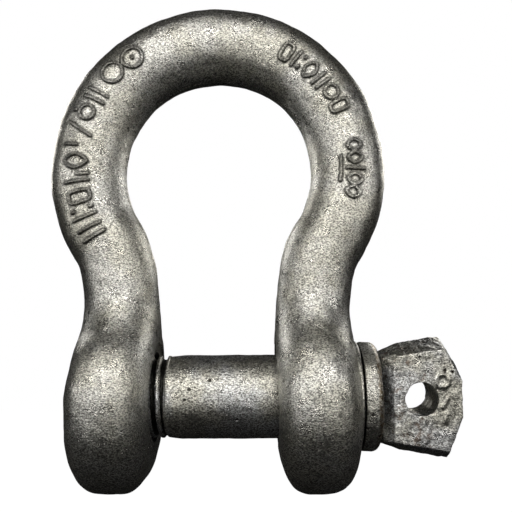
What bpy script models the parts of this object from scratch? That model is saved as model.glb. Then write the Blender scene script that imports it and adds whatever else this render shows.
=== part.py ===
"""A galvanised screw-pin bow shackle with a 38.1 mm pin: a forged bow, a collar and a screw pin.

Metres, +Z up. The origin is where a load bears on the inside of the crown, so the shackle hangs
from it. The pin lies along X below it, with its eye at +X and its thread in the ear at -X.
"""

import math

import bmesh
import bpy

# Driving dimensions.
PIN_RADIUS = 0.01905
JAW_WIDTH = 0.05715
INSIDE_LENGTH = 0.1356
BOW_INSIDE_RADIUS = 0.0457
STOCK_RADIUS = 0.0178
EAR_RADIUS = 0.043
GAP = 0.0003

# The bow. Heights are above the pin's axis.
PIN_DROP = INSIDE_LENGTH + PIN_RADIUS
RING_HEIGHT = 0.1079
RING_SWEEP = math.radians(123)
CROWN_RADIUS = 0.0183
NECK_RADIUS = 0.0174
NECK_HEIGHT = 0.0525
RING_HANDLE = 0.32
LEG_HANDLE = 0.12
EAR_TOP = 0.0455
EAR_DEPTH = 0.041
EAR_TOP_RADIUS = 0.038
FILLET_START = 0.026
EAR_OUTSIDE_ROUNDNESS = 3.0
EAR_INSIDE_ROUNDNESS = 3.8
FOOT_ROUNDNESS = 3.0
STOCK_ROUNDNESS = 2.12

# The ears' faces and bores.
FACING_CUT = 0.0011
EAR_INNER = JAW_WIDTH / 2 - FACING_CUT
EAR_OUTER = 0.0658
EAR_MIDDLE = (EAR_INNER + EAR_OUTER) / 2
EAR_HALF_THICKNESS = (EAR_OUTER - EAR_INNER) / 2
FACING_RADIUS = 0.0245
BOSS_RADIUS = 0.0254
BOSS_FACE = 0.0651
BOSS_ROOT = 0.052
BORE_RADIUS = 0.0197
MOUTH_CHAMFER = 0.0005
COUNTERSINK_RADIUS = 0.0202
COUNTERSINK_DEPTH = 0.003

# The thread: six turns to the inch, right-handed. It runs out where the plain shank begins.
PITCH = 0.0254 / 6
THREAD_CREST = 0.0187
THREAD_ROOT = 0.0169
CREST_LAND = 0.0009
CREST_CLEARANCE = 0.0005
FLANK_CLEARANCE = 0.0001
PIN_END = -0.0662
PIN_END_CHAMFER = 0.002
SHANK_TAPER_START = -0.0155
SHANK_TAPER_END = -0.0215
SHANK_END_RADIUS = 0.0184
SHANK_CORE_END = -0.0235
SHANK_FRONT_GAP = 0.0005

# The collar between the ear and the pin's eye.
COLLAR_RADIUS = 0.0248
COLLAR_ROUNDING = 0.0022
COLLAR_START = BOSS_FACE + GAP
COLLAR_WIDTH = 0.0083
COLLAR_END = COLLAR_START + COLLAR_WIDTH
COLLAR_BORE = PIN_RADIUS + GAP

# The pin's flat eye. Its edges slope out from each face to a parting line halfway through.
# A screwed-in pin stops at any angle, and this one's eye stops a little short of upright.
EYE_TURN = math.radians(4)
STEM_LENGTH = 0.004
STEM_HALF_WIDTH = 0.0178
STEM_HALF_DEPTH = 0.007
NECK_ROUNDNESS = 2.6
NECK_START = COLLAR_END + GAP
NECK_HALF_WIDTH = 0.0205
NECK_HALF_DEPTH = 0.0075
EYE_THICKNESS = 0.023
FACE_START = 0.0805
SHOULDER = 0.1047
EYE_END = 0.111
EYE_HOLE_X = 0.0928
EYE_HOLE_RADIUS = 0.0074
BEVEL_START = NECK_START + 0.0015
BEVEL_DEPTH = 0.0035

# The eye's outlines, as (x, distance from the pin's axis) above and below the axis: its flat faces,
# and the parting line. The upper corner is rounder than the lower one.
FACE_UPPER = (
    (FACE_START, 0.0172),
    (FACE_START + 0.002, 0.0193),
    (SHOULDER - 0.006, 0.0218),
    (SHOULDER - 0.001, 0.0222),
    (EYE_END, 0.008),
)
FACE_LOWER = (
    (FACE_START, 0.0188),
    (FACE_START + 0.001, 0.0196),
    (SHOULDER - 0.006, 0.0223),
    (SHOULDER, 0.0236),
    (EYE_END, 0.008),
)
PARTING_UPPER = (
    (NECK_START + GAP, 0.0205),
    (FACE_START + 0.004, 0.0247),
    (SHOULDER - 0.006, 0.0272),
    (SHOULDER - 0.001, 0.0273),
    (EYE_END + 0.001, 0.0132),
)
PARTING_LOWER = (
    (NECK_START + GAP, 0.021),
    (FACE_START + 0.004, 0.0246),
    (SHOULDER - 0.006, 0.0271),
    (SHOULDER + 0.0019, 0.0284),
    (EYE_END + 0.001, 0.0132),
)
EYE_EDGE_ROUNDING = 0.0012

# How far a cutter runs past the face that it opens, and joined shapes into each other.
CUT_PAST = 0.01
LAP = 0.001
MERGE_DISTANCE = 0.00001

# How finely the curved surfaces are divided.
BOW_SIDES = 24
RING_STEPS = 13
BEND_STEPS = 9
FOOT_STEPS = 9
TURNED_STEPS = 48
THREAD_STEPS = 20
NECK_SIDES = 20


def clear_scene():
    for thing in list(bpy.data.objects):
        bpy.data.objects.remove(thing, do_unlink=True)


def new_collection(name):
    group = bpy.data.collections.new(name)
    bpy.context.scene.collection.children.link(group)
    return group


def new_material(name, colour, roughness, metallic):
    material = bpy.data.materials.new(name)
    material.use_nodes = True
    shader = material.node_tree.nodes["Principled BSDF"]
    shader.inputs["Base Color"].default_value = (*colour, 1.0)
    shader.inputs["Roughness"].default_value = roughness
    shader.inputs["Metallic"].default_value = metallic
    return material


def add_object(name, bm, group):
    """The bmesh as a smooth-shaded object whose origin is on the pin's axis."""
    bmesh.ops.recalc_face_normals(bm, faces=bm.faces)
    mesh = bpy.data.meshes.new(name)
    bm.to_mesh(mesh)
    bm.free()
    mesh.shade_smooth()
    mesh.set_sharp_from_angle(angle=math.radians(40))
    thing = bpy.data.objects.new(name, mesh)
    thing.location.z = -PIN_DROP
    group.objects.link(thing)
    return thing


def turned(name, profile, group, facing=1):
    """A profile of (x, radius) turned about the pin's axis: facing -1 swaps its two ends."""
    bm = bmesh.new()
    points = [bm.verts.new((radius, 0, x)) for x, radius in profile]
    for start, end in zip(points, points[1:]):
        bm.edges.new((start, end))
    bmesh.ops.remove_doubles(bm, verts=bm.verts, dist=MERGE_DISTANCE)
    mesh = bpy.data.meshes.new(name)
    bm.to_mesh(mesh)
    bm.free()
    thing = bpy.data.objects.new(name, mesh)
    thing.location.z = -PIN_DROP
    thing.rotation_euler.y = facing * math.pi / 2
    group.objects.link(thing)
    screw = thing.modifiers.new("Turn", "SCREW")
    screw.steps = TURNED_STEPS
    screw.render_steps = TURNED_STEPS
    screw.use_merge_vertices = True
    screw.merge_threshold = MERGE_DISTANCE
    return thing


def loft(name, rings, group, open_start=False):
    """A skin through rings of equally many points, with a flat cap on each closed end."""
    bm = bmesh.new()
    loops = [[bm.verts.new(point) for point in ring] for ring in rings]
    for low, high in zip(loops, loops[1:]):
        for i in range(len(low)):
            j = (i + 1) % len(low)
            bm.faces.new((low[i], low[j], high[j], high[i]))
    if not open_start:
        bm.faces.new(loops[0])
    bm.faces.new(loops[-1])
    return add_object(name, bm, group)


def oval(half_width, half_depth, outside, inside, sides):
    """Points (across, y) of an oval. Each side has its roundness: 2 is an ellipse, and more is squarer."""
    points = []
    for i in range(sides):
        angle = 2 * math.pi * i / sides
        across, deep = math.cos(angle), math.sin(angle)
        roundness = outside if across > 0 else inside
        points.append(
            (
                math.copysign(abs(across) ** (2 / roundness), across) * half_width,
                math.copysign(abs(deep) ** (2 / roundness), deep) * half_depth,
            )
        )
    return points


def helical_rod(name, crest, root, land, start, end, group):
    """A right-hand threaded rod on the pin's axis, in phase with the pin, with pointed ends."""
    flank = (crest - root) * math.tan(math.radians(30))
    tooth = (
        (-land / 2 - flank, root),
        (-land / 2, crest),
        (land / 2, crest),
        (land / 2 + flank, root),
    )
    first, last = math.floor(start / PITCH), math.ceil(end / PITCH)
    bm = bmesh.new()
    rows = []
    for i in range((last - first) * THREAD_STEPS + 1):
        angle = 2 * math.pi * i / THREAD_STEPS
        middle = PITCH * (first + i / THREAD_STEPS)
        y, z = -math.cos(angle), -math.sin(angle)
        rows.append([bm.verts.new((middle + x, r * y, r * z)) for x, r in tooth])
    for i in range(len(rows) - 1):
        row, following = rows[i], rows[i + 1]
        for k in range(3):
            bm.faces.new((row[k], row[k + 1], following[k + 1], following[k]))
        if i + THREAD_STEPS + 1 < len(rows):
            beyond, further = rows[i + THREAD_STEPS], rows[i + THREAD_STEPS + 1]
            bm.faces.new((row[3], beyond[0], further[0], following[3]))
    start_rim = [row[0] for row in rows[: THREAD_STEPS + 1]] + rows[0][3:0:-1]
    end_rim = [row[3] for row in rows[-THREAD_STEPS - 1 :]] + rows[-1][2::-1]
    for rim, x in ((start_rim, (first - 1) * PITCH), (end_rim, (last + 1) * PITCH)):
        tip = bm.verts.new((x, 0, 0))
        for i, corner in enumerate(rim):
            bm.faces.new((tip, corner, rim[(i + 1) % len(rim)]))
    return add_object(name, bm, group)


def combine(thing, operation, other):
    """Joins the other shape to this one or cuts it away, and keeps it out of the render."""
    other.hide_render = True
    other.display_type = "WIRE"
    boolean = thing.modifiers.new(other.name, "BOOLEAN")
    boolean.operation = operation
    boolean.object = other
    boolean.solver = "EXACT"


def ease(t):
    """0 up to t = 0, 1 from t = 1, and a smooth step between."""
    t = min(max(t, 0.0), 1.0)
    return t * t * (3 - 2 * t)


def mix(a, b, t):
    return a + (b - a) * t


def bow_path():
    """The right half's centre line as (x, z), from the crown round to the foot of the ear."""
    mean = BOW_INSIDE_RADIUS + STOCK_RADIUS
    crown_rise = PIN_DROP + CROWN_RADIUS - RING_HEIGHT
    path = []
    for i in range(RING_STEPS):
        angle = RING_SWEEP * i / (RING_STEPS - 1)
        rise = crown_rise if angle < math.pi / 2 else mean
        path.append((mean * math.sin(angle), RING_HEIGHT + rise * math.cos(angle)))
    start, end = path[-1], (EAR_MIDDLE, 0)
    reach = math.dist(start, end)
    handle_a = (
        start[0] + math.cos(RING_SWEEP) * reach * RING_HANDLE,
        start[1] - math.sin(RING_SWEEP) * reach * RING_HANDLE,
    )
    handle_b = (end[0], end[1] + reach * LEG_HANDLE)
    corners = (start, handle_a, handle_b, end)
    for i in range(1, BEND_STEPS + 1):
        t = i / BEND_STEPS
        weights = ((1 - t) ** 3, 3 * t * (1 - t) ** 2, 3 * t * t * (1 - t), t**3)
        path.append(tuple(sum(w * c[k] for w, c in zip(weights, corners)) for k in (0, 1)))
    for i in range(1, FOOT_STEPS + 1):
        angle = math.radians(88) * i / FOOT_STEPS
        path.append((EAR_MIDDLE, -EAR_RADIUS * math.sin(angle)))
    return path


def half_depth(height):
    """Half the depth along Y: a round ear below, a hollow fillet, and the leg above."""
    if height < FILLET_START:
        radius = EAR_TOP_RADIUS if height > 0 else EAR_RADIUS
        return EAR_DEPTH * math.sqrt(1 - min(abs(height) / radius, 1.0) ** 2)
    side = math.sqrt(1 - (FILLET_START / EAR_TOP_RADIUS) ** 2)
    drop = EAR_DEPTH * side - STOCK_RADIUS
    slope = EAR_DEPTH * FILLET_START / (EAR_TOP_RADIUS**2 * side)
    left = max(1 - (height - FILLET_START) * slope / (2 * drop), 0.0)
    return STOCK_RADIUS + drop * left**2


def section_at(x, height):
    """Half the width in the bow's plane, half the depth along Y, and the oval's two roundnesses."""
    crown = mix(STOCK_RADIUS, CROWN_RADIUS, ease(1 - x / BOW_INSIDE_RADIUS))
    stock = crown if height > RING_HEIGHT else STOCK_RADIUS
    neck = ease((RING_HEIGHT - height) / (RING_HEIGHT - NECK_HEIGHT))
    ear = ease((EAR_TOP - height) / EAR_TOP)
    width = mix(mix(stock, NECK_RADIUS, neck), EAR_HALF_THICKNESS, ear)
    foot = min(max(-height / EAR_RADIUS, 0.0), 1.0)
    width *= (1 - foot**FOOT_ROUNDNESS) ** (1 / FOOT_ROUNDNESS)
    outside = mix(STOCK_ROUNDNESS, EAR_OUTSIDE_ROUNDNESS, ear)
    inside = mix(STOCK_ROUNDNESS, EAR_INSIDE_ROUNDNESS, ear)
    return width, half_depth(height), outside, inside


def bow_rings():
    path = bow_path()
    rings = []
    for i, (x, z) in enumerate(path):
        before = path[i - 1] if i else (-path[1][0], path[1][1])
        after = path[min(i + 1, len(path) - 1)]
        length = math.dist(before, after)
        out_x, out_z = (before[1] - after[1]) / length, (after[0] - before[0]) / length
        points = oval(*section_at(x, z), BOW_SIDES)
        rings.append([(x + out_x * u, y, z + out_z * u) for u, y in points])
    return rings


def make_bow(parts, cutters):
    bow = loft("bow", bow_rings(), parts, open_start=True)
    mirror = bow.modifiers.new("Mirror", "MIRROR")
    mirror.merge_threshold = MERGE_DISTANCE
    boss = (
        (BOSS_FACE, 0),
        (BOSS_FACE, BOSS_RADIUS - MOUTH_CHAMFER),
        (BOSS_FACE - MOUTH_CHAMFER, BOSS_RADIUS),
        (BOSS_ROOT, BOSS_RADIUS),
        (BOSS_ROOT, 0),
    )
    combine(bow, "UNION", turned("collar_boss", boss, cutters))
    boss_front = (
        (BOSS_FACE + CUT_PAST, 0),
        (BOSS_FACE + CUT_PAST, EAR_RADIUS),
        (BOSS_FACE, EAR_RADIUS),
        (BOSS_FACE, 0),
    )
    combine(bow, "DIFFERENCE", turned("right_facing", boss_front, cutters))
    combine(bow, "DIFFERENCE", turned("left_facing", boss_front, cutters, facing=-1))
    half = JAW_WIDTH / 2
    jaw = ((half, 0), (half, FACING_RADIUS), (-half, FACING_RADIUS), (-half, 0))
    combine(bow, "DIFFERENCE", turned("jaw_facing", jaw, cutters))
    bore = (
        (BOSS_FACE + CUT_PAST, 0),
        (BOSS_FACE + CUT_PAST, BORE_RADIUS + MOUTH_CHAMFER),
        (BOSS_FACE, BORE_RADIUS + MOUTH_CHAMFER),
        (BOSS_FACE - MOUTH_CHAMFER, BORE_RADIUS),
        (half + MOUTH_CHAMFER, BORE_RADIUS),
        (half, BORE_RADIUS + MOUTH_CHAMFER),
        (half - CUT_PAST, BORE_RADIUS + MOUTH_CHAMFER),
        (half - CUT_PAST, 0),
    )
    combine(bow, "DIFFERENCE", turned("plain_bore", bore, cutters))
    tap = helical_rod(
        "tapped_bore",
        THREAD_CREST + CREST_CLEARANCE,
        THREAD_ROOT + CREST_CLEARANCE,
        CREST_LAND + 2 * FLANK_CLEARANCE,
        -BOSS_FACE - CUT_PAST,
        -half + CUT_PAST,
        cutters,
    )
    combine(bow, "DIFFERENCE", tap)
    countersink = (
        (-half + CUT_PAST, 0),
        (-half + CUT_PAST, COUNTERSINK_RADIUS),
        (-half, COUNTERSINK_RADIUS),
        (-half - COUNTERSINK_DEPTH, COUNTERSINK_RADIUS - COUNTERSINK_DEPTH),
        (-half - COUNTERSINK_DEPTH, 0),
    )
    combine(bow, "DIFFERENCE", turned("tapped_bore_mouth", countersink, cutters))
    bow.data.materials.append(new_material("galvanised_bow", (0.33, 0.33, 0.29), 0.45, 0.85))
    return bow


def make_collar(parts):
    profile = [(COLLAR_END, COLLAR_BORE)]
    rim_radius = COLLAR_RADIUS - COLLAR_ROUNDING
    for first, middle in ((0, COLLAR_END - COLLAR_ROUNDING), (90, COLLAR_START + COLLAR_ROUNDING)):
        for degrees in range(first, first + 91, 30):
            across = COLLAR_ROUNDING * math.cos(math.radians(degrees))
            outward = COLLAR_ROUNDING * math.sin(math.radians(degrees))
            profile.append((middle + across, rim_radius + outward))
    profile.append((COLLAR_START, COLLAR_BORE))
    collar = turned("collar", profile + profile[:1], parts)
    collar.modifiers["Turn"].use_smooth_shade = True
    collar.data.materials.append(new_material("galvanised_collar", (0.3, 0.3, 0.28), 0.4, 0.85))


def eye_rings():
    """The eye's closed outlines, from its near face through the parting line to its far face."""

    def ring(y, upper, lower):
        return [(x, y, z) for x, z in upper] + [(x, y, -z) for x, z in reversed(lower)]

    def below_bevel(face, parting):
        """The outline where the bevel beside the collar ends, and the edge drops to the parting line."""
        t = 2 * BEVEL_DEPTH / EYE_THICKNESS
        points = [tuple(mix(a, b, t) for a, b in zip(*pair)) for pair in zip(face, parting)]
        return [(BEVEL_START, points[0][1]), *points[1:]]

    half = EYE_THICKNESS / 2
    bevelled = below_bevel(FACE_UPPER, PARTING_UPPER), below_bevel(FACE_LOWER, PARTING_LOWER)
    return [
        ring(-half, FACE_UPPER, FACE_LOWER),
        ring(BEVEL_DEPTH - half, *bevelled),
        ring(0, PARTING_UPPER, PARTING_LOWER),
        ring(half - BEVEL_DEPTH, *bevelled),
        ring(half, FACE_UPPER, FACE_LOWER),
    ]


def neck_rings():
    """Oval sections along X: the stem inside the collar's bore, then the wider neck."""
    stations = (
        (COLLAR_END - STEM_LENGTH, STEM_HALF_WIDTH, STEM_HALF_DEPTH),
        (NECK_START, STEM_HALF_WIDTH, STEM_HALF_DEPTH),
        (NECK_START, NECK_HALF_WIDTH, NECK_HALF_DEPTH),
        (FACE_START + 2 * LAP, NECK_HALF_WIDTH, NECK_HALF_DEPTH),
    )
    return [
        [(x, y, z) for z, y in oval(*size, NECK_ROUNDNESS, NECK_ROUNDNESS, NECK_SIDES)]
        for x, *size in stations
    ]


def make_screw_pin(parts, cutters):
    pin = helical_rod(
        "screw_pin",
        THREAD_CREST,
        THREAD_ROOT,
        CREST_LAND,
        PIN_END - CUT_PAST,
        SHANK_TAPER_START,
        parts,
    )
    blank = (
        (SHANK_TAPER_END + LAP, 0),
        (SHANK_TAPER_END + LAP, THREAD_CREST - LAP),
        (SHANK_CORE_END, THREAD_CREST),
        (PIN_END + PIN_END_CHAMFER, THREAD_CREST),
        (PIN_END, THREAD_CREST - PIN_END_CHAMFER),
        (PIN_END, 0),
    )
    combine(pin, "INTERSECT", turned("threaded_blank", blank, cutters))
    shank = (
        (COLLAR_END - SHANK_FRONT_GAP, 0),
        (COLLAR_END - SHANK_FRONT_GAP, PIN_RADIUS),
        (SHANK_TAPER_START, PIN_RADIUS),
        (SHANK_TAPER_END, SHANK_END_RADIUS),
        (SHANK_CORE_END, THREAD_ROOT),
        (SHANK_CORE_END, 0),
    )
    combine(pin, "UNION", turned("plain_shank", shank, cutters))
    neck = loft("neck", neck_rings(), cutters)
    neck.rotation_euler.x = EYE_TURN
    combine(pin, "UNION", neck)
    eye = loft("eye", eye_rings(), cutters)
    eye.rotation_euler.x = EYE_TURN
    bevel = eye.modifiers.new("Rounded edges", "BEVEL")
    bevel.width = EYE_EDGE_ROUNDING
    bevel.segments = 2
    bevel.angle_limit = math.radians(25)
    combine(pin, "UNION", eye)
    bm = bmesh.new()
    bmesh.ops.create_cone(
        bm,
        cap_ends=True,
        segments=32,
        radius1=EYE_HOLE_RADIUS,
        radius2=EYE_HOLE_RADIUS,
        depth=2 * EYE_THICKNESS,
    )
    hole = add_object("eye_hole", bm, cutters)
    hole.location.x = EYE_HOLE_X
    hole.rotation_euler.x = math.pi / 2 + EYE_TURN
    combine(pin, "DIFFERENCE", hole)
    pin.data.materials.append(new_material("galvanised_pin", (0.32, 0.32, 0.29), 0.42, 0.85))


def main():
    clear_scene()
    parts = new_collection("bow_shackle")
    cutters = new_collection("cutters")
    make_bow(parts, cutters)
    make_collar(parts)
    make_screw_pin(parts, cutters)


main()
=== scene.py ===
"""The looks of the galvanised screw-pin bow shackle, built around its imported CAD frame.

Metres, in the CAD's frame: +Z up, the origin inside the crown, and the pin along X below it.
"""

import math

import bmesh
import bpy
import numpy as np
from mathutils import Matrix, Vector
from mathutils.kdtree import KDTree


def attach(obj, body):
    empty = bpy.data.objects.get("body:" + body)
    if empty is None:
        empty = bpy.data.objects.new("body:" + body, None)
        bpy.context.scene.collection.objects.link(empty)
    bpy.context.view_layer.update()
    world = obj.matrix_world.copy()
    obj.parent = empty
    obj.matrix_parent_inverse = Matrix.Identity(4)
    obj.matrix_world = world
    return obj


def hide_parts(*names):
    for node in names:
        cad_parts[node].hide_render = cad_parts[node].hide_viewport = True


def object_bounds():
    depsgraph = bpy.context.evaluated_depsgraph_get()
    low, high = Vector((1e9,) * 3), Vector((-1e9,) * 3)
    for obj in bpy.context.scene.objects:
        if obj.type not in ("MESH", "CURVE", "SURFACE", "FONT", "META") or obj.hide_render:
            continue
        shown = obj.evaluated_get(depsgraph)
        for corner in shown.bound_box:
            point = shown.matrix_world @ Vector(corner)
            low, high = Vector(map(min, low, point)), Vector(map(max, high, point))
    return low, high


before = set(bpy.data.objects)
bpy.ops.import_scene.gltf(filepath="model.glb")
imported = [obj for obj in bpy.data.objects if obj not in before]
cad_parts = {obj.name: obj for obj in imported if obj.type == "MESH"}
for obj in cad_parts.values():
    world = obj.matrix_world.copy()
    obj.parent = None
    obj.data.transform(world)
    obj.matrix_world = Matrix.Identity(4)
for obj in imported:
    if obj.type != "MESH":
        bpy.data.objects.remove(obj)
cad_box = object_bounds()

MILLIMETRE = 0.001

# The CAD's driving dimensions.
PIN_RADIUS = 0.01905
JAW_WIDTH = 0.05715
INSIDE_LENGTH = 0.1356
BOW_INSIDE_RADIUS = 0.0457
STOCK_RADIUS = 0.0178
EAR_RADIUS = 0.043
PIN_DROP = INSIDE_LENGTH + PIN_RADIUS

# The bow. Heights are above the pin's axis.
RING_HEIGHT = 0.1079
RING_SWEEP = math.radians(123)
CROWN_RADIUS = 0.0183
NECK_RADIUS = 0.0174
NECK_HEIGHT = 0.0525
RING_HANDLE = 0.32
LEG_HANDLE = 0.12
EAR_TOP = 0.0455
EAR_DEPTH = 0.041
EAR_OUTSIDE_ROUNDNESS = 3.0
EAR_INSIDE_ROUNDNESS = 3.8
FOOT_ROUNDNESS = 3.0
STOCK_ROUNDNESS = 2.12
EAR_TOP_RADIUS = 0.038
FILLET_START = 0.026
EAR_INNER = JAW_WIDTH / 2 - 0.0011
EAR_OUTER = 0.0658
EAR_MIDDLE = (EAR_INNER + EAR_OUTER) / 2
EAR_HALF_THICKNESS = (EAR_OUTER - EAR_INNER) / 2

# The ears' faces and bores.
FACING_RADIUS = 0.0245
BOSS_RADIUS = 0.0254
BOSS_FACE = 0.0651
BOSS_ROOT = 0.052
BOSS_RIM = 0.0009
BORE_RADIUS = 0.0197
MOUTH_CHAMFER = 0.0005
COUNTERSINK_RADIUS = 0.0202
COUNTERSINK_DEPTH = 0.003
CUT_PAST = 0.01

# The thread, the shank, the collar and the eye.
PITCH = 0.0254 / 6
THREAD_CREST = 0.0187
THREAD_ROOT = 0.0169
CREST_LAND = 0.0009
FLANK_ANGLE = math.radians(30)
CREST_CLEARANCE = 0.0005
FLANK_CLEARANCE = 0.0001
PIN_END = -0.0662
PIN_END_CHAMFER = 0.002
SHANK_TAPER_START = -0.0155
SHANK_TAPER_END = -0.0215
SHANK_END_RADIUS = 0.0184
SHANK_CORE_END = -0.0235
COLLAR_START = 0.0654
COLLAR_END = 0.0737
COLLAR_RADIUS = 0.0248
COLLAR_BORE = 0.01935
COLLAR_NEAR_RIM = 0.0016
COLLAR_FAR_REACH = 0.0036
COLLAR_FAR_DROP = 0.0028
EYE_TURN = math.radians(4)
NECK_START = 0.074
NECK_HALF_WIDTH = 0.0205
NECK_HALF_DEPTH = 0.0075
NECK_ROUNDNESS = 2.6
STEM_HALF_WIDTH = 0.0178
STEM_HALF_DEPTH = 0.007
STEM_LENGTH = 0.004
EYE_THICKNESS = 0.023
FACE_START = 0.0805
SHOULDER = 0.1047
EYE_END = 0.111
EYE_HOLE_X = 0.0928
EYE_HOLE_RADIUS = 0.0074
BEVEL_START = NECK_START + 0.0015
BEVEL_DEPTH = 0.0035

# How finely the surfaces are divided.
RING_STEPS = 170
BEND_STEPS = 80
FOOT_STEPS = 60
BOW_SIDES = 150
TURNED_SIDES = 128
NECK_SIDES = 48
COLLAR_SIDES = 180
HEAD_VOXEL = 0.0005
HEAD_SMOOTHING = 5
MARK_VOXEL = 0.00025
MARK_SMOOTHING = 2


def ease(t):
    """0 up to t = 0, 1 from t = 1, and a smooth step between."""
    t = np.clip(t, 0.0, 1.0)
    return t * t * (3 - 2 * t)


def mix(a, b, t):
    return a + (b - a) * t


def bell(distance, width):
    return np.exp(-((distance / width) ** 2))


def oval_swell(angle, power):
    """The radius at each angle of a rounded box of half width 1: power 2 is a circle."""
    return (np.abs(np.cos(angle)) ** power + np.abs(np.sin(angle)) ** power) ** (-1 / power)


def lumps(points, wavelength, seed):
    """A smooth, even field of lumps of about this wavelength over the points, mostly within -2 to 2."""
    random = np.random.default_rng(seed)
    waves = random.normal(size=(40, 3))
    waves /= np.linalg.norm(waves, axis=1)[:, None]
    waves *= 2 * math.pi / wavelength * random.uniform(0.6, 1.3, (40, 1))
    phases = random.uniform(0, 2 * math.pi, 40)
    return np.sin(points @ waves.T + phases).sum(-1) * math.sqrt(2 / 40)


def new_piece(name, vertices, faces):
    mesh = bpy.data.meshes.new(name)
    mesh.from_pydata(np.asarray(vertices).tolist(), [], faces)
    mesh.update()
    piece = bpy.data.objects.new(name, mesh)
    bpy.context.scene.collection.objects.link(piece)
    return piece


def piece_from(name, bm):
    """A new piece from the bmesh, which is freed."""
    mesh = bpy.data.meshes.new(name)
    bm.to_mesh(mesh)
    bm.free()
    piece = bpy.data.objects.new(name, mesh)
    bpy.context.scene.collection.objects.link(piece)
    return piece


def grid_faces(rows, columns, wrap_rows=False):
    """Quads of a grid whose columns wrap round, numbered row by row."""
    last = rows if wrap_rows else rows - 1
    i, j = np.meshgrid(np.arange(last), np.arange(columns), indexing="ij")
    k, m = (i + 1) % rows, (j + 1) % columns
    quads = np.stack((i * columns + j, i * columns + m, k * columns + m, k * columns + j), -1)
    return quads.reshape(-1, 4).tolist()


def closed_grid(name, grid, wrap_rows=False):
    """A skin over a grid of points (rows, columns, 3), with a fan to the middle of each end row."""
    rows, columns = grid.shape[:2]
    faces = grid_faces(rows, columns, wrap_rows)
    vertices = grid.reshape(-1, 3)
    if not wrap_rows:
        vertices = np.vstack((vertices, grid[0].mean(0), grid[-1].mean(0)))
        first, last = rows * columns, (rows - 1) * columns
        for j in range(columns):
            m = (j + 1) % columns
            faces.append((first, m, j))
            faces.append((first + 1, last + j, last + m))
    return new_piece(name, vertices, faces)


def grid_normals(grid):
    across = np.roll(grid, -1, 1) - np.roll(grid, 1, 1)
    along = np.gradient(grid, axis=0)
    normals = np.cross(along, across)
    return normals / np.maximum(np.linalg.norm(normals, axis=-1, keepdims=True), 1e-12)


def face_outward(piece):
    bm = bmesh.new()
    bm.from_mesh(piece.data)
    bmesh.ops.recalc_face_normals(bm, faces=bm.faces)
    bm.to_mesh(piece.data)
    bm.free()


def bake_modifiers(piece):
    """Replaces the piece's mesh by what its modifiers make of it."""
    bpy.context.view_layer.update()
    graph = bpy.context.evaluated_depsgraph_get()
    mesh = bpy.data.meshes.new_from_object(piece.evaluated_get(graph))
    piece.modifiers.clear()
    piece.data = mesh


def combine(piece, operation, other):
    """Joins the other shape to this one or cuts it away, for good."""
    boolean = piece.modifiers.new(other.name, "BOOLEAN")
    boolean.operation = operation
    boolean.object = other
    boolean.solver = "EXACT"
    bake_modifiers(piece)
    bpy.data.objects.remove(other)


def melt(piece, voxel, smoothing):
    """Runs the piece's overlapping parts together into one soft closed skin."""
    remesh = piece.modifiers.new("Voxels", "REMESH")
    remesh.mode = "VOXEL"
    remesh.voxel_size = voxel
    soften = piece.modifiers.new("Soften", "SMOOTH")
    soften.factor = 0.5
    soften.iterations = smoothing
    bake_modifiers(piece)


def thread_radius(x, angle, crest, thread_root_shade, land):
    """The radius of the right-hand thread, which is in phase with the CAD's."""
    turns = x / PITCH - angle / (2 * math.pi)
    off_crest = np.abs(turns - np.round(turns)) * PITCH
    return np.clip(crest - (off_crest - land / 2) / math.tan(FLANK_ANGLE), thread_root_shade, crest)


def revolved(name, x, radius, sides=TURNED_SIDES, wrap_rows=False, roughen=None):
    """A shape turned about the pin's axis, whose radius may depend on the angle too."""
    x = np.asarray(x)[:, None]
    angle = np.arange(sides) * 2 * math.pi / sides
    if callable(radius):
        radius = radius(x, angle)
    radius = np.asarray(radius)
    if radius.ndim == 1:
        radius = radius[:, None]
    radius = np.broadcast_to(radius, (len(x), sides))
    grid = np.stack(
        (
            np.broadcast_to(x, radius.shape),
            -radius * np.cos(angle),
            -radius * np.sin(angle) - PIN_DROP,
        ),
        -1,
    )
    if roughen:
        grid = grid + grid_normals(grid) * roughen(grid)[..., None]
    piece = closed_grid(name, grid, wrap_rows)
    face_outward(piece)
    return piece


def directions(spots, closed):
    """The unit direction of the line at each of its points."""
    if closed:
        ahead = np.roll(spots, -1, 0) - np.roll(spots, 1, 0)
    else:
        ahead = np.gradient(spots, axis=0)
    return ahead / np.linalg.norm(ahead, axis=1)[:, None]


def run_along(corners, step):
    """Points no more than a step apart along the straight runs between the corners."""
    points = [corners[0]]
    for start, end in zip(corners, corners[1:]):
        count = max(1, math.ceil(math.dist(start, end) / step))
        for i in range(1, count + 1):
            points.append(tuple(mix(a, b, i / count) for a, b in zip(start, end)))
    return np.array(points)


# ---------------------------------------------------------------- the bow


def half_depth(height):
    """Half the bow's depth along Y: a round ear below, a hollow fillet, and the leg above."""
    radius = np.where(height > 0, EAR_TOP_RADIUS, EAR_RADIUS)
    ear = EAR_DEPTH * np.sqrt(1 - np.clip(height / radius, -1, 1) ** 2)
    side = math.sqrt(1 - (FILLET_START / EAR_TOP_RADIUS) ** 2)
    drop = EAR_DEPTH * side - STOCK_RADIUS
    slope = EAR_DEPTH * FILLET_START / (EAR_TOP_RADIUS**2 * side)
    left = np.clip(1 - (height - FILLET_START) * slope / (2 * drop), 0, 1)
    return np.where(height < FILLET_START, ear, STOCK_RADIUS + drop * left**2)


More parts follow.
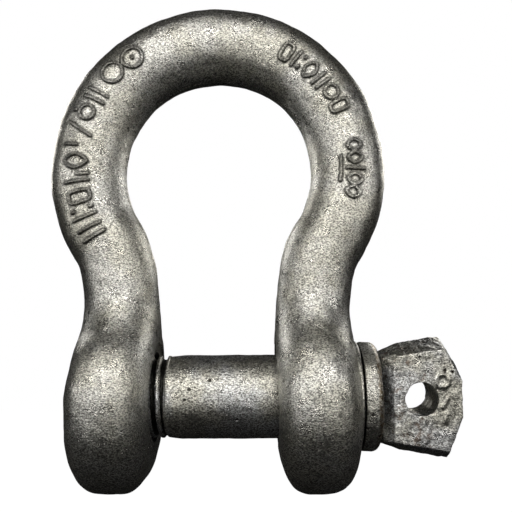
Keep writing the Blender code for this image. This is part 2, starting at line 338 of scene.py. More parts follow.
def bow_stations():
    """The centre line and its sections, as arrays from the left foot over the crown to the right."""
    mean = BOW_INSIDE_RADIUS + STOCK_RADIUS
    crown_rise = PIN_DROP + CROWN_RADIUS - RING_HEIGHT
    angle = np.linspace(0, RING_SWEEP, RING_STEPS)
    rise = np.where(angle < math.pi / 2, crown_rise, mean)
    ring = np.stack((mean * np.sin(angle), RING_HEIGHT + rise * np.cos(angle)), 1)
    start, end = ring[-1], np.array((EAR_MIDDLE, 0.0))
    reach = math.dist(start, end)
    handle = reach * RING_HANDLE
    handle_a = start + handle * np.array((math.cos(RING_SWEEP), -math.sin(RING_SWEEP)))
    handle_b = end + np.array((0, reach * LEG_HANDLE))
    t = np.linspace(0, 1, BEND_STEPS + 1)[1:, None]
    bend = (
        (1 - t) ** 3 * start
        + 3 * t * (1 - t) ** 2 * handle_a
        + 3 * t * t * (1 - t) * handle_b
        + t**3 * end
    )
    angle = np.linspace(0, math.radians(89.3), FOOT_STEPS + 1)[1:]
    foot = np.stack((np.full(FOOT_STEPS, EAR_MIDDLE), -EAR_RADIUS * np.sin(angle)), 1)
    half = np.vstack((ring, bend, foot))
    path = np.vstack((half[:0:-1] * (-1, 1), half))
    x, height = path.T
    step = np.gradient(path, axis=0)
    step /= np.linalg.norm(step, axis=1)[:, None]
    run = np.concatenate(([0], np.cumsum(np.linalg.norm(np.diff(path, axis=0), axis=1))))
    crown = mix(STOCK_RADIUS, CROWN_RADIUS, ease(1 - np.abs(x) / BOW_INSIDE_RADIUS))
    stock = np.where(height > RING_HEIGHT, crown, STOCK_RADIUS)
    neck = ease((RING_HEIGHT - height) / (RING_HEIGHT - NECK_HEIGHT))
    ear = ease((EAR_TOP - height) / EAR_TOP)
    width = mix(mix(stock, NECK_RADIUS, neck), EAR_HALF_THICKNESS, ear)
    foot = np.clip(-height / EAR_RADIUS, 0, 1)
    width *= (1 - foot**FOOT_ROUNDNESS) ** (1 / FOOT_ROUNDNESS)
    return {
        "run": run - run[len(half) - 1],
        "x": x,
        "height": height,
        "out_x": -step[:, 1],
        "out_z": step[:, 0],
        "width": width,
        "depth": half_depth(height),
        "ear": ear,
    }


STATIONS = bow_stations()


def bow_skin(run, angle):
    """Points of the bow's smooth skin: run is the way along it from the crown, positive towards
    the eye's side, and angle goes round the section from outward, 0, through the back, 90 degrees."""
    at = {key: np.interp(run, STATIONS["run"], values) for key, values in STATIONS.items()}
    ear = np.where(np.cos(angle) > 0, EAR_OUTSIDE_ROUNDNESS, EAR_INSIDE_ROUNDNESS)
    swell = oval_swell(angle, mix(STOCK_ROUNDNESS, ear, at["ear"]))
    out = at["width"] * np.cos(angle) * swell
    return np.stack(
        (
            at["x"] + at["out_x"] * out,
            at["depth"] * np.sin(angle) * swell,
            at["height"] - PIN_DROP + at["out_z"] * out,
        ),
        -1,
    )


# The parting seam, which fades out above the ears, and painted shade lines beside it and the marks.
SEAM_HALF_WIDTH = 0.0007
SEAM_HEIGHT = 0.00028
SEAM_FOOT = 0.0012
SEAM_FADE = 0.01
CREVICE_SHADE_WIDTH = 0.0004

# Dents in the skin: (run, angle in degrees, radius, depth).
DENTS = (
    (0.1669, -126, 0.0016, 0.0006),
    (0.1685, -129, 0.0013, 0.0003),
    (-0.2020, -120, 0.0018, 0.0003),
    (0.0700, -95, 0.0035, 0.0002),
)


def forge(points, run):
    """How far the forged and galvanised skin stands off its smooth shape."""
    height = np.interp(run, STATIONS["run"], STATIONS["height"])
    off = 0.00011 * lumps(points, 0.022, 1)
    off += 0.00005 * lumps(points, 0.008, 2)
    off += 0.000022 * lumps(points, 0.0035, 3)
    seam = bell(points[..., 1], SEAM_HALF_WIDTH) * ease((height - EAR_TOP) / SEAM_FADE)
    off += seam * (SEAM_HEIGHT + 0.00008 * lumps(points, 0.012, 4))
    for at, degrees, radius, depth in DENTS:
        centre = bow_skin(np.array(at), np.array(math.radians(degrees)))
        off -= depth * bell(np.linalg.norm(points - centre, axis=-1), radius)
    return off


# Raised marks. A mark is a list of strokes, and a stroke is (points, closed) in millimetres: along
# the row, and outward across the stock.
def bar(length, x=0.0, y=0.0, slant=90.0):
    turn = math.radians(slant)
    reach = np.linspace(-length / 2, length / 2, max(4, round(length / 1.2)))
    return [(np.stack((x + reach * math.cos(turn), y + reach * math.sin(turn)), 1), False)]


def ring(radius, x=0.0, y=0.0):
    turn = np.arange(24) * math.pi / 12
    return [(np.stack((x + radius * np.cos(turn), y + radius * np.sin(turn)), 1), True)]


def box(width, height, power=4.0):
    turn = np.arange(32) * math.pi / 16
    swell = oval_swell(turn, power)
    x = width / 2 * np.cos(turn) * swell
    return [(np.stack((x, height / 2 * np.sin(turn) * swell), 1), True)]


def dot(x=0.0, y=0.0):
    return bar(0.9, x, y)


DIAMOND = box(5.0, 6.4, 1.5)
# (run, angle in degrees) of each mark's middle, and the mark.
MARKS = (
    (-0.1340, -83, bar(11, -2.3) + bar(11, 2.3)),
    (-0.1252, -83, bar(11, -1.2) + dot(2.4, -4.5) + dot(2.4, 4.5)),
    (-0.1168, -84, box(5.4, 10.5)),
    (-0.1085, -84, bar(11, -1.0) + bar(5, 2.2, -3)),
    (-0.1000, -83, box(6.4, 10.5, 1.5)),
    (-0.0925, -77, bar(5.5, 0, 1)),
    (-0.0850, -82, bar(12, 0, 0, 68)),
    (-0.0765, -83, ring(3.4) + dot(-0.5, 5.8)),
    (-0.0680, -84, bar(10, -1.6) + bar(10, 2.4)),
    (-0.0545, -82, ring(4.9)),
    (-0.0430, -86, ring(4.9) + dot()),
    (0.0359, -93, box(4.8, 8.6)),
    (0.0430, -93, bar(8, -1.4) + dot(1.8, -3) + dot(1.8, 3)),
    (0.0505, -93, box(5.6, 8.6, 1.5)),
    (0.0578, -92, bar(8, -1.7) + bar(8, 1.7)),
    (0.0652, -89, ring(3.3)),
    (0.0730, -89, box(4.8, 8.6)),
    (0.0930, -86, DIAMOND),
    (0.0990, -86, DIAMOND),
    (0.1040, -85, bar(8)),
    (0.1090, -85, DIAMOND),
    (0.1150, -85, DIAMOND),
    (0.1045, -107, bar(12, 0, 0, 0)),
)
STROKE_HALF_WIDTH = 0.00085
STROKE_SKIRT = 0.0003
STROKE_HEIGHT = 0.0011
STROKE_ROOT = 0.0003


def forged_skin(run, angle):
    points = bow_skin(run, angle)
    small = 0.0002
    along = bow_skin(run + small, angle) - points
    around = bow_skin(run, angle + small / STOCK_RADIUS) - points
    normals = np.cross(along, around)
    normals /= np.linalg.norm(normals, axis=-1, keepdims=True)
    return points + normals * forge(points, run)[..., None], normals


def stroke_grid(run, angle, points, closed):
    """The rows of a low rounded bead that follows the stroke over the skin."""
    points = points * MILLIMETRE
    spots, normals = forged_skin(run + points[:, 0], math.radians(angle) + points[:, 1] / STOCK_RADIUS)
    ahead = directions(spots, closed)
    side = np.cross(normals, ahead)
    wide = STROKE_HALF_WIDTH + STROKE_SKIRT
    section = np.array(
        (
            (-wide, -STROKE_ROOT),
            (-STROKE_HALF_WIDTH * 0.8, STROKE_HEIGHT * 0.85),
            (0, STROKE_HEIGHT),
            (STROKE_HALF_WIDTH * 0.8, STROKE_HEIGHT * 0.85),
            (wide, -STROKE_ROOT),
            (0, -3 * STROKE_ROOT),
        )
    )

    def row(i, shift=0.0, width=1.0, height=1.0):
        up = np.where(section[:, 1:] > 0, section[:, 1:] * height, section[:, 1:])
        return spots[i] + ahead[i] * shift + side[i] * section[:, :1] * width + normals[i] * up

    rows = [row(i) for i in range(len(spots))]
    if not closed:
        for end, sign in ((0, -1), (-1, 1)):
            caps = [
                row(end, sign * STROKE_HALF_WIDTH * 0.8, 0.8, 0.85),
                row(end, sign * wide, 0.35, -0.5),
            ]
            rows = caps[::-1] + rows if sign < 0 else rows + caps
    return np.stack(rows)


def make_marks():
    vertices, faces = [], []
    for run, angle, strokes in MARKS:
        for points, closed in strokes:
            grid = stroke_grid(run, angle, points, closed)
            rows, columns = grid.shape[:2]
            base = len(vertices)
            vertices.extend(grid.reshape(-1, 3).tolist())
            faces.extend([base + i for i in quad] for quad in grid_faces(rows, columns, closed))
            if not closed:
                faces.append([base + j for j in range(columns)])
                faces.append([base + (rows - 1) * columns + j for j in range(columns)])
    marks = new_piece("raised_marks", vertices, faces)
    face_outward(marks)
    melt(marks, MARK_VOXEL, MARK_SMOOTHING)
    return marks


def make_boss():
    """The round boss that the collar bears on, with a rounded rim."""
    turn = np.radians((0, 30, 60, 90))
    x = BOSS_FACE - BOSS_RIM + BOSS_RIM * np.sin(turn)
    radius = BOSS_RADIUS - BOSS_RIM + BOSS_RIM * np.cos(turn)
    return revolved("boss", np.concatenate(([BOSS_ROOT], x)), np.concatenate(([BOSS_RADIUS], radius)))


def make_bow():
    near_seam = np.array((-1.4, -0.8, -0.35, 0.35, 0.8, 1.4)) * MILLIMETRE / STOCK_RADIUS
    angle = np.arange(BOW_SIDES) * 2 * math.pi / BOW_SIDES
    angle = np.sort(np.concatenate((angle, near_seam % (2 * math.pi), near_seam + math.pi)))
    run, angle = np.meshgrid(STATIONS["run"], angle, indexing="ij")
    grid = bow_skin(run, angle)
    grid += grid_normals(grid) * forge(grid, run)[..., None]
    bow = closed_grid("bow_forging", grid)
    face_outward(bow)
    combine(bow, "UNION", make_marks())
    combine(bow, "UNION", make_boss())
    combine(bow, "DIFFERENCE", bow_cutter())
    paint_crevice_shade(bow)
    return bow


def paint_crevice_shade(bow):
    """Keeps, in a point attribute, how deep each point lies in a line of painted shade beside a stroke
    or the parting seam."""
    spots = []
    for run, angle, strokes in MARKS:
        for points, closed in strokes:
            corners = [*points, points[0]] if closed else list(points)
            line = run_along(corners, 0.3) * MILLIMETRE
            spots.extend(bow_skin(run + line[:, 0], math.radians(angle) + line[:, 1] / STOCK_RADIUS))
    tree = KDTree(len(spots))
    for i, spot in enumerate(spots):
        tree.insert(spot, i)
    tree.balance()
    points = np.array([vertex.co for vertex in bow.data.vertices])
    distance = np.array([tree.find(point)[2] for point in points])
    feet = bell(distance - STROKE_HALF_WIDTH - STROKE_SKIRT, CREVICE_SHADE_WIDTH)
    above_ears = ease((points[:, 2] + PIN_DROP - EAR_TOP) / SEAM_FADE)
    seam = 0.6 * bell(np.abs(points[:, 1]) - SEAM_FOOT, CREVICE_SHADE_WIDTH) * above_ears
    crevice_shade = bow.data.attributes.new("crevice_shade", "FLOAT", "POINT")
    crevice_shade.data.foreach_set("value", np.maximum(feet, seam))


def bow_cutter():
    """What the ears' machining takes away: both boss faces, the plain bore, the jaw and the thread."""
    half = JAW_WIDTH / 2
    right = [
        (BOSS_FACE + CUT_PAST, EAR_RADIUS),
        (BOSS_FACE, EAR_RADIUS),
        (BOSS_FACE, BORE_RADIUS + MOUTH_CHAMFER),
        (BOSS_FACE - MOUTH_CHAMFER, BORE_RADIUS),
        (half + MOUTH_CHAMFER, BORE_RADIUS),
        (half, BORE_RADIUS + MOUTH_CHAMFER),
        (half, FACING_RADIUS),
        (-half, FACING_RADIUS),
        (-half, COUNTERSINK_RADIUS),
        (-half - COUNTERSINK_DEPTH, COUNTERSINK_RADIUS - COUNTERSINK_DEPTH),
    ]
    tapped = np.arange(-half - COUNTERSINK_DEPTH, -BOSS_FACE, -0.0003)
    left = [(-BOSS_FACE, EAR_RADIUS), (-BOSS_FACE - CUT_PAST, EAR_RADIUS)]
    x = np.concatenate(([p[0] for p in right], tapped, [p[0] for p in left]))
    plain = np.concatenate(([p[1] for p in right], np.zeros(len(tapped)), [p[1] for p in left]))

    def radius(x, angle):
        thread = thread_radius(
            x,
            angle,
            THREAD_CREST + CREST_CLEARANCE,
            THREAD_ROOT + CREST_CLEARANCE,
            CREST_LAND + 2 * FLANK_CLEARANCE,
        )
        in_thread = (x < -half) & (x > -BOSS_FACE)
        return np.where(in_thread, np.maximum(thread, plain[:, None]), plain[:, None])

    return revolved("bow_cutter", x, radius)


# ---------------------------------------------------------------- the pin and the collar


def make_shaft():
    outline = run_along([(PIN_END, 0.002), (PIN_END, THREAD_CREST - PIN_END_CHAMFER)], 0.0012)
    end_radius = outline[:, 1]
    threaded = np.arange(PIN_END + 0.0001, SHANK_CORE_END + 0.004, 0.00025)
    plain = np.arange(threaded[-1] + 0.0004, COLLAR_END - 0.0005, 0.0008)
    x = np.concatenate((outline[:, 0], threaded, plain))

    def radius(x, angle):
        thread = thread_radius(x, angle, THREAD_CREST, THREAD_ROOT, CREST_LAND)
        thread = np.minimum(thread, THREAD_CREST - PIN_END_CHAMFER + (x - PIN_END))
        shank = np.interp(
            x,
            (SHANK_CORE_END, SHANK_TAPER_END, SHANK_TAPER_START),
            (THREAD_ROOT, SHANK_END_RADIUS, PIN_RADIUS),
        )
        body = np.where(x > SHANK_CORE_END, np.maximum(shank, thread * (x < SHANK_TAPER_END)), thread)
        body[: len(end_radius)] = end_radius[:, None]
        return body

    def roughen(points):
        return 0.00006 * lumps(points, 0.014, 11) + 0.00003 * lumps(points, 0.005, 12)

    return revolved("pin_forging", x, radius, roughen=roughen)


# The eye's outlines, as (x, distance from the pin's axis): its flat faces, and the parting line
# halfway between them. The upper corner is rounder than the lower one.
FACE_UPPER = (
    (FACE_START, 0.0172),
    (FACE_START + 0.002, 0.0193),
    (SHOULDER - 0.006, 0.0218),
    (SHOULDER - 0.001, 0.0222),
    (EYE_END, 0.008),
)
FACE_LOWER = (
    (FACE_START, 0.0188),
    (FACE_START + 0.001, 0.0196),
    (SHOULDER - 0.006, 0.0223),
    (SHOULDER, 0.0236),
    (EYE_END, 0.008),
)
PARTING_UPPER = (
    (NECK_START + 0.0003, 0.0205),
    (FACE_START + 0.004, 0.0247),
    (SHOULDER - 0.006, 0.0272),
    (SHOULDER - 0.001, 0.0273),
    (EYE_END + 0.001, 0.0132),
)
PARTING_LOWER = (
    (NECK_START + 0.0003, 0.021),
    (FACE_START + 0.004, 0.0246),
    (SHOULDER - 0.006, 0.0271),
    (SHOULDER + 0.0019, 0.0284),
    (EYE_END + 0.001, 0.0132),
)


def below_bevel(face, parting):
    """The outline where the bevel beside the collar ends, and the edge drops to the parting line."""
    t = 2 * BEVEL_DEPTH / EYE_THICKNESS
    points = [tuple(mix(a, b, t) for a, b in zip(*pair)) for pair in zip(face, parting)]
    return [(BEVEL_START, points[0][1]), *points[1:]]


# Raised marks on the eye's face, as (x, distance above the pin's axis) of the middle and the stroke.
EYE_MARKS = (
    (0.1022, 0.0082, ring(2.9)),
    (0.1030, -0.0015, bar(5.5, 0, 0, 60)),
    (0.1030, -0.0085, bar(5.0, 0, 0, 90)),
)
EYE_MARK_HEIGHT = 0.0009


def make_eye_marks():
    """Half-sunk beads along the strokes."""
    turn = np.arange(8) * math.pi / 4
    beads = []
    for x, z, strokes in EYE_MARKS:
        for points, closed in strokes:
            spots = points * MILLIMETRE + (x, z)
            ahead = directions(spots, closed)
            wide = 1.1 * EYE_MARK_HEIGHT * np.cos(turn)
            grid = np.empty((len(spots), len(turn), 3))
            grid[..., 0] = spots[:, :1] - ahead[:, 1:] * wide
            grid[..., 1] = -EYE_THICKNESS / 2 - EYE_MARK_HEIGHT * np.sin(turn)
            grid[..., 2] = spots[:, 1:] + ahead[:, :1] * wide
            bead = closed_grid("eye_mark", grid, closed)
            face_outward(bead)
            beads.append(bead)
    return beads


def make_eye():
    """The eye, with its outline narrower on the faces than at the parting line."""
    bm = bmesh.new()
    half = EYE_THICKNESS / 2
    bevelled = below_bevel(FACE_UPPER, PARTING_UPPER), below_bevel(FACE_LOWER, PARTING_LOWER)
    loops = []
    for y, (upper, lower) in (
        (-half, (FACE_UPPER, FACE_LOWER)),
        (BEVEL_DEPTH - half, bevelled),
        (0, (PARTING_UPPER, PARTING_LOWER)),
        (half - BEVEL_DEPTH, bevelled),
        (half, (FACE_UPPER, FACE_LOWER)),
    ):
        outline = [(x, y, z) for x, z in upper] + [(x, y, -z) for x, z in reversed(lower)]
        loops.append([bm.verts.new(point) for point in outline])
    for low, high in zip(loops, loops[1:]):
        for i in range(len(low)):
            j = (i + 1) % len(low)
            bm.faces.new((low[i], low[j], high[j], high[i]))
    bm.faces.new(loops[0])
    bm.faces.new(loops[-1])
    bmesh.ops.recalc_face_normals(bm, faces=bm.faces)
    return piece_from("head", bm)


def make_neck():
    """The flat neck, with a stem that reaches into the shaft under the collar."""
    angle = np.arange(NECK_SIDES) * 2 * math.pi / NECK_SIDES
    swell = oval_swell(angle, NECK_ROUNDNESS)
    sections = []
    for x, width, depth in (
        (COLLAR_END - STEM_LENGTH, STEM_HALF_WIDTH, STEM_HALF_DEPTH),
        (NECK_START, STEM_HALF_WIDTH, STEM_HALF_DEPTH),
        (NECK_START + 0.0001, NECK_HALF_WIDTH, NECK_HALF_DEPTH),
        (FACE_START + 0.002, NECK_HALF_WIDTH, NECK_HALF_DEPTH),
    ):
        y, z = depth * np.sin(angle) * swell, width * np.cos(angle) * swell
        sections.append(np.stack((np.full(NECK_SIDES, x), y, z), -1))
    neck = closed_grid("neck", np.stack(sections))
    face_outward(neck)
    return neck


def make_eye_hole():
    bm = bmesh.new()
    bmesh.ops.create_cone(
        bm,
        cap_ends=True,
        segments=96,
        radius1=EYE_HOLE_RADIUS,
        radius2=EYE_HOLE_RADIUS,
        depth=2 * EYE_THICKNESS,
        matrix=Matrix.Translation((EYE_HOLE_X, 0, 0)) @ Matrix.Rotation(math.pi / 2, 4, "X"),
    )
    return piece_from("hole", bm)


def make_head():
    """The neck and the eye, blended by a voxel remesh and softened as a forging is."""
    head = make_eye()
    combine(head, "UNION", make_neck())
    combine(head, "DIFFERENCE", make_eye_hole())
    for mark in make_eye_marks():
        combine(head, "UNION", mark)
    melt(head, HEAD_VOXEL, HEAD_SMOOTHING)
    head.data.transform(Matrix.Translation((0, 0, -PIN_DROP)) @ Matrix.Rotation(EYE_TURN, 4, "X"))
    roughen_mesh(head.data, 0.00007, 0.006, 21)
    roughen_mesh(head.data, 0.00005, 0.0025, 22)
    return head


def roughen_mesh(mesh, amount, wavelength, seed):
    count = len(mesh.vertices) * 3
    points, normals = np.empty(count), np.empty(count)
    mesh.vertices.foreach_get("co", points)
    mesh.vertices.foreach_get("normal", normals)
    points, normals = points.reshape(-1, 3), normals.reshape(-1, 3)
    points += normals * amount * lumps(points, wavelength, seed)[:, None]
    mesh.vertices.foreach_set("co", points.ravel())
    mesh.update()


def make_pin():
    pin = make_shaft()
    combine(pin, "UNION", make_head())
    return pin


def make_collar():
    """A ring whose rim is rounded, more on the eye's side."""
    profile = [(COLLAR_END, COLLAR_BORE)]
    for degrees in range(0, 91, 10):
        turn = math.radians(degrees)
        x = COLLAR_END - COLLAR_FAR_REACH * (1 - math.cos(turn))
        profile.append((x, COLLAR_RADIUS - COLLAR_FAR_DROP * (1 - math.sin(turn))))
    for degrees in range(90, 181, 15):
        turn = math.radians(degrees)
        x = COLLAR_START + COLLAR_NEAR_RIM * (1 + math.cos(turn))
        profile.append((x, COLLAR_RADIUS - COLLAR_NEAR_RIM * (1 - math.sin(turn))))
    profile.append((COLLAR_START, COLLAR_BORE))
    x, radius = run_along(profile + profile[:1], 0.0008)[:-1].T

    def roughen(points):
        return 0.00008 * lumps(points, 0.012, 31) + 0.00005 * lumps(points, 0.004, 32)

    return revolved("collar_ring", x, radius, COLLAR_SIDES, wrap_rows=True, roughen=roughen)


# ---------------------------------------------------------------- materials


class Nodes:
    """A short way to write a node tree."""

    def __init__(self, material):
        self.tree = material.node_tree
        self.shader = self.tree.nodes["Principled BSDF"]
        self.place = self.tree.nodes.new("ShaderNodeTexCoord").outputs["Object"]

    def add(self, kind, inputs=None, **settings):
        node = self.tree.nodes.new(kind)
        for key, value in settings.items():
            setattr(node, key, value)
        for key, value in (inputs or {}).items():
            self.join(value, node.inputs[key])
        return node

    def join(self, value, socket):
        if isinstance(value, bpy.types.NodeSocket):
            self.tree.links.new(value, socket)
        else:
            socket.default_value = value

    def noise(self, scale, detail=2.0, roughness=0.5, distortion=0.0, place=None):
        inputs = {
            "Vector": place or self.place,
            "Scale": scale,
            "Detail": detail,
            "Roughness": roughness,
            "Distortion": distortion,
        }
        return self.add("ShaderNodeTexNoise", inputs).outputs["Fac"]

    def ramp(self, value, low, high, to_low=0.0, to_high=1.0):
        inputs = {
            "Value": value,
            "From Min": low,
            "From Max": high,
            "To Min": to_low,
            "To Max": to_high,
        }
        node = self.add("ShaderNodeMapRange", inputs, interpolation_type="SMOOTHSTEP")
        return node.outputs["Result"]

    def math(self, operation, first, second=0.0):
        node = self.add("ShaderNodeMath", {0: first, 1: second}, operation=operation)
        return node.outputs[0]

    def vector(self, operation, first, second):
        node = self.add("ShaderNodeVectorMath", {0: first, 1: second}, operation=operation)
        return node.outputs[0]

    def along_pin(self):
        return self.add("ShaderNodeSeparateXYZ", {0: self.place}).outputs["X"]

    def pin_radius(self):
        """The distance from the pin's axis."""
        across = self.vector("MULTIPLY", self.vector("ADD", self.place, (0, 0, PIN_DROP)), (0, 1, 1))
        return self.add("ShaderNodeVectorMath", {0: across}, operation="LENGTH").outputs["Value"]

    def blend(self, amount, first, second):
        node = self.add("ShaderNodeMix", data_type="RGBA")
        self.join(amount, node.inputs[0])
        self.join(first, node.inputs[6])
        self.join(second, node.inputs[7])
        return node.outputs[2]

    def bump(self, height, distance, normal=None):
        inputs = {"Height": height, "Distance": distance, "Strength": 1.0}
        if normal:
            inputs["Normal"] = normal
        return self.add("ShaderNodeBump", inputs).outputs["Normal"]


# The peel runs in short worms across the legs.
GRAIN_STRETCH = (0.7, 1.0, 1.3)


def galvanised(name, tint=(0.52, 0.52, 0.51, 1), grain_depth=0.0002, pitted=False):
    """Zinc over a forging: a fine peel, a cloudy colour between grey and olive, and on a pitted
    piece small dark pits. Returns the material, its nodes and its colour so far."""
    material = bpy.data.materials.new(name)
    material.use_nodes = True
    nodes = Nodes(material)
    peel = nodes.noise(1750, 1.0, 0.5, 0.6, nodes.vector("MULTIPLY", nodes.place, GRAIN_STRETCH))
    fine = nodes.noise(3300, 1.0, 0.5)
    cloud = nodes.noise(45, 3.0, 0.55)
    patch = nodes.noise(160, 3.0, 0.6)
    colour = nodes.blend(nodes.ramp(cloud, 0.4, 0.62), tint, (0.46, 0.455, 0.42, 1))
    colour = nodes.blend(nodes.ramp(patch, 0.56, 0.74, 0, 0.2), colour, (0.30, 0.27, 0.2, 1))
    # Painted glint and shade of the grain: the peel that drives the bump also brightens and darkens the
    # base colour, partly the zinc's own mottle.
    mottle_and_painted_glint = nodes.ramp(peel, 0.36, 0.64, 0.36, 1.68)
    colour = nodes.vector("MULTIPLY", colour, mottle_and_painted_glint)
    height = nodes.math("ADD", peel, nodes.math("MULTIPLY", fine, 0.35))
    normal = nodes.bump(height, grain_depth)
    if pitted:
        cells = nodes.add("ShaderNodeTexVoronoi", {"Vector": nodes.place, "Scale": 260.0})
        spot = nodes.ramp(cells.outputs["Distance"], 0.26, 0.12)
        chosen = nodes.ramp(nodes.noise(70, 2.0), 0.5, 0.62)
        spot = nodes.math("MULTIPLY", spot, chosen)
        colour = nodes.blend(spot, colour, (0.05, 0.045, 0.04, 1))
        normal = nodes.bump(nodes.math("SUBTRACT", 1.0, spot), 0.0003, normal)
    nodes.shader.inputs["Metallic"].default_value = 0.92
    nodes.join(nodes.ramp(patch, 0.3, 0.7, 0.26, 0.32), nodes.shader.inputs["Roughness"])
    nodes.join(normal, nodes.shader.inputs["Normal"])
    nodes.join(colour, nodes.shader.inputs["Base Color"])
    return material, nodes, colour


def darken_with_dirt_and_shade(nodes, colour, amount, dirt_and_shade_colour=(0.02, 0.02, 0.018, 1)):
    """Lays a dark colour over the colour so far: real dirt and rust in some places, painted shade in
    others.
    """
    colour = nodes.blend(amount, colour, dirt_and_shade_colour)
    nodes.join(colour, nodes.shader.inputs["Base Color"])
    return colour


def bow_zinc():
    material, nodes, colour = galvanised("bow_zinc")
    # Painted shade inside both bores and the tapped thread.
    bore_shade = nodes.ramp(nodes.pin_radius(), COUNTERSINK_RADIUS + 0.0006, COUNTERSINK_RADIUS)
    colour = darken_with_dirt_and_shade(nodes, colour, bore_shade)
    # Painted shade in lines beside the raised strokes and the parting seam.
    feet = nodes.add("ShaderNodeAttribute", attribute_name="crevice_shade").outputs["Fac"]
    colour = darken_with_dirt_and_shade(nodes, colour, nodes.math("MULTIPLY", feet, 0.7))
    # Painted shade on the boss face, in the narrow gap against the collar.
    boss_gap_shade = nodes.ramp(nodes.along_pin(), BOSS_FACE - 0.0007, BOSS_FACE - 0.0001)
    near_boss = nodes.ramp(nodes.pin_radius(), BOSS_RADIUS + 0.003, BOSS_RADIUS + 0.001)
    darken_with_dirt_and_shade(nodes, colour, nodes.math("MULTIPLY", boss_gap_shade, near_boss))
    return material


def collar_zinc():
    material, nodes, colour = galvanised("collar_zinc", pitted=True)
    x = nodes.along_pin()
    rust = nodes.ramp(nodes.noise(500, 3.0, 0.7), 0.4, 0.6, 0.25, 0.9)
    rust = nodes.math("MULTIPLY", rust, nodes.ramp(x, COLLAR_END - 0.003, COLLAR_END - 0.0018))
    colour = darken_with_dirt_and_shade(nodes, colour, rust, (0.16, 0.115, 0.065, 1))
    # Painted shade on the near face, in the gap against the boss.
    colour = darken_with_dirt_and_shade(nodes, colour, nodes.ramp(x, COLLAR_START + 0.0009, COLLAR_START + 0.0002))
    # Painted shade on both flat faces near the bore, where the collar meets the boss and the neck.
    far_edge = COLLAR_RADIUS - COLLAR_FAR_DROP
    darken_with_dirt_and_shade(nodes, colour, nodes.ramp(nodes.pin_radius(), far_edge, far_edge - 0.001))
    return material


def pin_zinc():
    material, nodes, colour = galvanised("pin_zinc", (0.53, 0.54, 0.56, 1), 0.00018, pitted=True)
    x = nodes.along_pin()
    # Painted shade in the thread's roots, which also darkens the end face inside its chamfer.
    shaft = nodes.ramp(x, NECK_START + 0.0006, NECK_START)
    thread_root_shade = nodes.ramp(nodes.pin_radius(), THREAD_ROOT + 0.0009, THREAD_ROOT + 0.0003)
    colour = darken_with_dirt_and_shade(nodes, colour, nodes.math("MULTIPLY", shaft, thread_root_shade))
    rust = nodes.ramp(nodes.noise(260, 3.0, 0.65), 0.52, 0.68, 0, 0.75)
    rust = nodes.math("MULTIPLY", rust, nodes.ramp(x, NECK_START, NECK_START + 0.002))
    rust = nodes.math("MULTIPLY", rust, nodes.ramp(x, SHOULDER - 0.004, SHOULDER - 0.012))
    darken_with_dirt_and_shade(nodes, colour, rust, (0.15, 0.10, 0.07, 1))
    return material


SHARP_ANGLE = math.radians(38)


def finish_piece(piece, body, node, material):
    piece.data.materials.clear()
    piece.data.materials.append(material)
    piece.data.shade_smooth()
    piece.data.set_sharp_from_angle(angle=SHARP_ANGLE)
    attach(piece, body)
    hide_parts(node)


# ---------------------------------------------------------------- the stage


CAMERA_PLACE = (0.01986, -0.30062, 0.0217 - PIN_DROP)
CAMERA_TURN = (-0.005, 0.147, -0.003)
CAMERA_LENS = 44.24
SENSOR_WIDTH = 36


def add_camera():
    """The camera stands in front, low, and looks a little up at the middle of the shackle."""
    yaw, pitch, roll = CAMERA_TURN
    forward = Vector(
        (math.sin(yaw) * math.cos(pitch), math.cos(yaw) * math.cos(pitch), math.sin(pitch))
    )
    right = Vector((math.cos(yaw), -math.sin(yaw), 0))
    up = right.cross(forward)
    right, up = (
        math.cos(roll) * right + math.sin(roll) * up,
        math.cos(roll) * up - math.sin(roll) * right,
    )
    camera = bpy.data.objects.new("camera", bpy.data.cameras.new("camera"))
    camera.matrix_world = Matrix((right, up, -forward)).transposed().to_4x4()
    camera.location = CAMERA_PLACE
    camera.data.lens = CAMERA_LENS
    camera.data.sensor_width = SENSOR_WIDTH
    camera.data.clip_start = 0.01
    bpy.context.scene.collection.objects.link(camera)
    bpy.context.scene.camera = camera


# The studio's round softboxes, about the middle of the shackle: azimuth to the right of the front and
# elevation, in degrees, and power. They come in pairs, one on each side.
SOFTBOXES = (
    (20, 35, 0.9),
    (20, -5, 0.5),
    (60, 10, 0.6),
    (140, 25, 0.6),
)
SOFTBOX_SIZE = 0.25
SOFTBOX_DISTANCE = 0.6
LIGHT_TARGET = (0, 0, -0.08)
WARM_WHITE = (1, 0.97, 0.9)


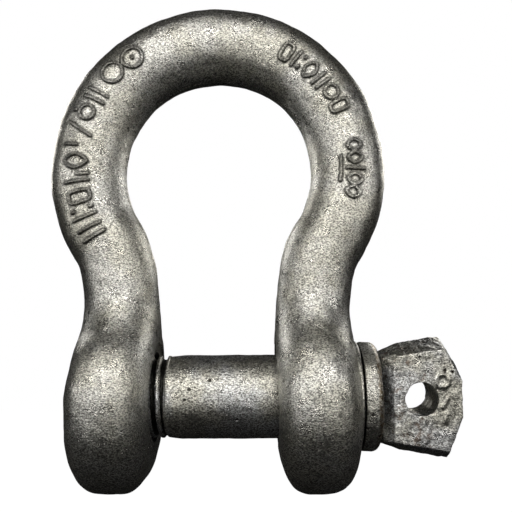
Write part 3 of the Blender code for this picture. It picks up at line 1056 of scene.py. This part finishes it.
def add_lights():
    target = Vector(LIGHT_TARGET)
    for azimuth, elevation, power in SOFTBOXES:
        for side in (-1, 1):
            a, e = math.radians(side * azimuth), math.radians(elevation)
            way = Vector((math.sin(a) * math.cos(e), -math.cos(a) * math.cos(e), math.sin(e)))
            data = bpy.data.lights.new("softbox", "AREA")
            data.shape = "DISK"
            data.size = SOFTBOX_SIZE
            data.energy = power
            data.color = WARM_WHITE
            light = bpy.data.objects.new("softbox", data)
            light.location = target + way * SOFTBOX_DISTANCE
            light.rotation_euler = way.to_track_quat("Z", "Y").to_euler()
            bpy.context.scene.collection.objects.link(light)


def add_world():
    """White where the camera sees it, and nearly dark in the metal's reflections."""
    world = bpy.data.worlds.new("studio")
    world.use_nodes = True
    bpy.context.scene.world = world
    nodes, links = world.node_tree.nodes, world.node_tree.links
    background = nodes["Background"]
    seen = nodes.new("ShaderNodeLightPath").outputs["Is Camera Ray"]
    shade = nodes.new("ShaderNodeMix")
    shade.data_type = "RGBA"
    links.new(seen, shade.inputs[0])
    shade.inputs[6].default_value = (0.005, 0.005, 0.005, 1)
    shade.inputs[7].default_value = (1, 1, 1, 1)
    links.new(shade.outputs[2], background.inputs["Color"])


FLOOR_REACH = 3
FLOOR_DROP = 0.25


def add_floor():
    """A pale floor well below, which the metal doesn't mirror."""
    r = FLOOR_REACH
    floor = new_piece("floor", [(-r, -r, 0), (r, -r, 0), (r, r, 0), (-r, r, 0)], [(0, 1, 2, 3)])
    floor.location.z = cad_box[0].z - FLOOR_DROP
    material = bpy.data.materials.new("pale_floor")
    material.use_nodes = True
    shader = material.node_tree.nodes["Principled BSDF"]
    shader.inputs["Base Color"].default_value = (0.95, 0.95, 0.95, 1)
    shader.inputs["Roughness"].default_value = 0.9
    shader.inputs["Emission Color"].default_value = (1, 1, 1, 1)
    shader.inputs["Emission Strength"].default_value = 1.0
    floor.data.materials.append(material)
    floor.visible_glossy = False
    floor.visible_diffuse = False


add_camera()
add_world()
add_lights()
add_floor()
finish_piece(make_bow(), "bow", "bow", bow_zinc())
finish_piece(make_collar(), "collar", "collar", collar_zinc())
finish_piece(make_pin(), "screw_pin", "screw_pin", pin_zinc())
bpy.context.scene.view_settings.view_transform = "Standard"
